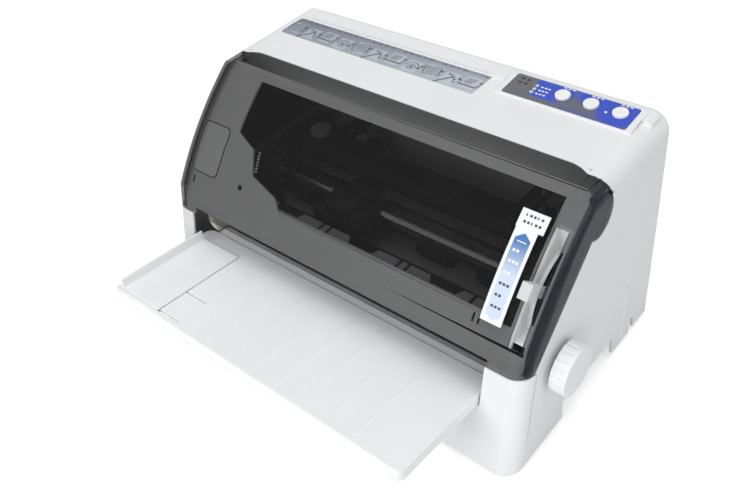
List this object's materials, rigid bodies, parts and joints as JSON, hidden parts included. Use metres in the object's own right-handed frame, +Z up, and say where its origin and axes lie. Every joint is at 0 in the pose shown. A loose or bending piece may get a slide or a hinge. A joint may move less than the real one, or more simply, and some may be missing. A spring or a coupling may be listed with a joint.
{
  "type": "dot matrix printer",
  "caption": "Flatbed dot matrix printer with a smoked hinged cover, front paper table, side feed knob, rear tractor feed and a slanted control panel.",
  "frame": {"origin": "under the middle of the whole printer, in the plane its rubber feet stand on", "axes": "+X towards the printer's right (its feed knob), +Y towards its rear, +Z up"},
  "size_m": [0.3808, 0.288, 0.1998],
  "materials": {
    "case_white": "fine grained",
    "case_base": "fine grained",
    "smoked_cover": "clear smoked",
    "rubber": "matt",
    "sticker_film": "printed film",
    "panel_film": "printed film",
    "lens": "clear",
    "circuit_board": "solder mask",
    "supply_board": "bare board",
    "steel": "plain",
    "roller_rubber": "ground",
    "black_plastic": "fine grained",
    "grey_plastic": "fine grained",
    "motor_metal": "plain",
    "head_metal": "cast",
    "gear_plastic": "moulded",
    "bronze": "sintered",
    "ribbon_fabric": "woven"
  },
  "bodies": {
    "case": {"lower_case": "case_base", "upper_case": "case_white", "rubber_feet": "rubber", "screws": "steel", "instruction_label": "sticker_film", "panel_overlay": "panel_film", "indicator_lenses": "lens", "panel_board": "circuit_board", "side_frame_left": "steel", "side_frame_right": "steel", "mechanism_base": "steel", "lower_paper_guide": "steel", "front_guide_strip": "steel", "flat_platen": "black_plastic", "feed_motor": "motor_metal", "shaft_bushes": "bronze", "carriage_shaft": "steel", "guide_rail": "steel", "carriage_motor": "motor_metal", "timing_belt": "rubber", "ribbon_cartridge": "black_plastic", "ink_ribbon": "ribbon_fabric", "lever_plate": "case_white", "tractor_guide_shaft": "steel", "main_board": "circuit_board", "power_supply": "supply_board", "power_inlet": "black_plastic"},
    "front_cover": {"front_cover": "smoked_cover", "cover_sticker": "sticker_film"},
    "button_left": {"button_left": "case_white"},
    "button_middle": {"button_middle": "case_white"},
    "button_right": {"button_right": "case_white"},
    "rear_cover": {"rear_cover": "case_white"},
    "paper_table": {"paper_table": "case_white"},
    "edge_guide": {"edge_guide": "case_white"},
    "front_roller": {"front_feed_roller": "roller_rubber", "feed_knob": "case_white", "feed_gear": "gear_plastic"},
    "rear_roller": {"rear_feed_roller": "roller_rubber", "rear_feed_gear": "gear_plastic"},
    "feed_idler": {"feed_idler_gear": "gear_plastic"},
    "feed_pinion": {"feed_pinion": "bronze"},
    "front_pressure_rollers": {"front_pressure_rollers": "roller_rubber"},
    "rear_pressure_rollers": {"rear_pressure_rollers": "roller_rubber"},
    "carriage": {"carriage": "black_plastic", "print_head": "head_metal"},
    "belt_pulley": {"belt_pulley": "steel"},
    "idler_pulley": {"idler_pulley": "steel"},
    "ribbon_knob": {"ribbon_knob": "grey_plastic"},
    "copy_lever": {"copy_lever": "case_white"},
    "tractor_idler": {"tractor_idler_gear": "gear_plastic"},
    "tractor_shaft": {"tractor_drive_shaft": "steel", "tractor_gear": "gear_plastic"},
    "tractor_left": {"tractor_left": "black_plastic"},
    "tractor_right": {"tractor_right": "black_plastic"},
    "tractor_gate_left": {"tractor_gate_left": "black_plastic"},
    "tractor_gate_right": {"tractor_gate_right": "black_plastic"},
    "sprocket_left": {"sprocket_left": "gear_plastic"},
    "sprocket_right": {"sprocket_right": "gear_plastic"},
    "power_switch": {"power_switch": "black_plastic"}
  },
  "joints": [
    {"name": "cover_hinge", "type": "hinge", "parent": "case", "child": "front_cover", "pos_m": [-0.00739, 0.0445, 0.171], "axis": [-1, 0, 0], "range_deg": [0, 60]},
    {"name": "button_left_press", "type": "slide", "parent": "case", "child": "button_left", "axis": [0, 0.0802, -0.9968], "range_m": [0, 0.001], "stiffness_N_per_m": 250, "springref_m": -0.001},
    {"name": "button_middle_press", "type": "slide", "parent": "case", "child": "button_middle", "axis": [0, 0.0802, -0.9968], "range_m": [0, 0.001], "stiffness_N_per_m": 250, "springref_m": -0.001},
    {"name": "button_right_press", "type": "slide", "parent": "case", "child": "button_right", "axis": [0, 0.0802, -0.9968], "range_m": [0, 0.001], "stiffness_N_per_m": 250, "springref_m": -0.001},
    {"name": "rear_cover_hinge", "type": "hinge", "parent": "case", "child": "rear_cover", "pos_m": [-0.00739, 0.1406, 0.1846], "axis": [1, 0, 0], "range_deg": [0, 95]},
    {"name": "paper_table_lift_off", "type": "slide", "parent": "case", "child": "paper_table", "axis": [0, -0.9934, 0.1149], "range_m": [0, 0.06]},
    {"name": "edge_guide_slide", "type": "slide", "parent": "paper_table", "child": "edge_guide", "axis": [1, 0, 0], "range_m": [0, 0.026]},
    {"name": "knob_turn", "type": "hinge", "parent": "case", "child": "front_roller", "pos_m": [0.18261, -0.006, 0.076], "axis": [1, 0, 0], "continuous": true},
    {"name": "rear_roller_turn", "type": "hinge", "parent": "case", "child": "rear_roller", "pos_m": [-0.00739, 0.044, 0.076], "axis": [1, 0, 0], "continuous": true},
    {"name": "feed_idler_turn", "type": "hinge", "parent": "case", "child": "feed_idler", "pos_m": [-0.15339, 0.019, 0.076], "axis": [1, 0, 0], "continuous": true},
    {"name": "feed_pinion_turn", "type": "hinge", "parent": "case", "child": "feed_pinion", "pos_m": [-0.15839, -0.00976, 0.0402], "axis": [1, 0, 0], "continuous": true},
    {"name": "front_pressure_turn", "type": "hinge", "parent": "case", "child": "front_pressure_rollers", "pos_m": [-0.00739, -0.006, 0.0595], "axis": [1, 0, 0], "continuous": true},
    {"name": "rear_pressure_turn", "type": "hinge", "parent": "case", "child": "rear_pressure_rollers", "pos_m": [-0.00739, 0.044, 0.0595], "axis": [1, 0, 0], "continuous": true},
    {"name": "carriage_slide", "type": "slide", "parent": "case", "child": "carriage", "axis": [1, 0, 0], "range_m": [-0.059, 0.129]},
    {"name": "belt_pulley_turn", "type": "hinge", "parent": "case", "child": "belt_pulley", "pos_m": [0.11511, 0.062, 0.091], "axis": [0, 0, 1], "range_deg": [-540, 1170]},
    {"name": "idler_pulley_turn", "type": "hinge", "parent": "case", "child": "idler_pulley", "pos_m": [-0.12989, 0.062, 0.091], "axis": [0, 0, 1], "range_deg": [-540, 1170]},
    {"name": "ribbon_knob_turn", "type": "hinge", "parent": "case", "child": "ribbon_knob", "pos_m": [-0.11139, 0.069, 0.124], "axis": [0, 0, 1], "continuous": true},
    {"name": "copy_lever_tilt", "type": "hinge", "parent": "case", "child": "copy_lever", "pos_m": [0.16021, 0.02703, 0.10779], "axis": [1, 0, 0], "range_deg": [-33, 27]},
    {"name": "tractor_idler_turn", "type": "hinge", "parent": "case", "child": "tractor_idler", "pos_m": [-0.15339, 0.07232, 0.08861], "axis": [1, 0, 0], "continuous": true},
    {"name": "tractor_shaft_turn", "type": "hinge", "parent": "case", "child": "tractor_shaft", "pos_m": [-0.00739, 0.10264, 0.09505], "axis": [1, 0, 0], "continuous": true},
    {"name": "tractor_left_slide", "type": "slide", "parent": "case", "child": "tractor_left", "axis": [1, 0, 0], "range_m": [-0.015, 0.07]},
    {"name": "tractor_right_slide", "type": "slide", "parent": "case", "child": "tractor_right", "axis": [1, 0, 0], "range_m": [-0.07, 0.03]},
    {"name": "tractor_gate_left_hinge", "type": "hinge", "parent": "tractor_left", "child": "tractor_gate_left", "pos_m": [-0.11039, 0.10264, 0.09835], "axis": [0, -1, 0], "range_deg": [0, 60]},
    {"name": "sprocket_left_turn", "type": "hinge", "parent": "tractor_left", "child": "sprocket_left", "pos_m": [-0.10239, 0.10264, 0.09505], "axis": [1, 0, 0], "continuous": true},
    {"name": "tractor_gate_right_hinge", "type": "hinge", "parent": "tractor_right", "child": "tractor_gate_right", "pos_m": [0.07961, 0.10264, 0.09835], "axis": [0, -1, 0], "range_deg": [0, 60]},
    {"name": "sprocket_right_turn", "type": "hinge", "parent": "tractor_right", "child": "sprocket_right", "pos_m": [0.08761, 0.10264, 0.09505], "axis": [1, 0, 0], "continuous": true},
    {"name": "power_switch_rock", "type": "hinge", "parent": "case", "child": "power_switch", "pos_m": [-0.09539, 0.1354, 0.035], "axis": [1, 0, 0], "range_deg": [-5, 5]}
  ],
  "couplings": [
    {"joint": "rear_roller_turn", "follows": "knob_turn", "ratio": 1},
    {"joint": "feed_idler_turn", "follows": "knob_turn", "ratio": -1.5},
    {"joint": "feed_pinion_turn", "follows": "knob_turn", "ratio": -5},
    {"joint": "front_pressure_turn", "follows": "knob_turn", "ratio": -2.1},
    {"joint": "rear_pressure_turn", "follows": "knob_turn", "ratio": -2.1},
    {"joint": "tractor_idler_turn", "follows": "knob_turn", "ratio": -0.9375},
    {"joint": "tractor_shaft_turn", "follows": "knob_turn", "ratio": 1},
    {"joint": "sprocket_left_turn", "follows": "knob_turn", "ratio": 1},
    {"joint": "sprocket_right_turn", "follows": "knob_turn", "ratio": 1},
    {"joint": "belt_pulley_turn", "follows": "carriage_slide", "rad_per_m": 156.25},
    {"joint": "idler_pulley_turn", "follows": "carriage_slide", "rad_per_m": 156.25}
  ]
}
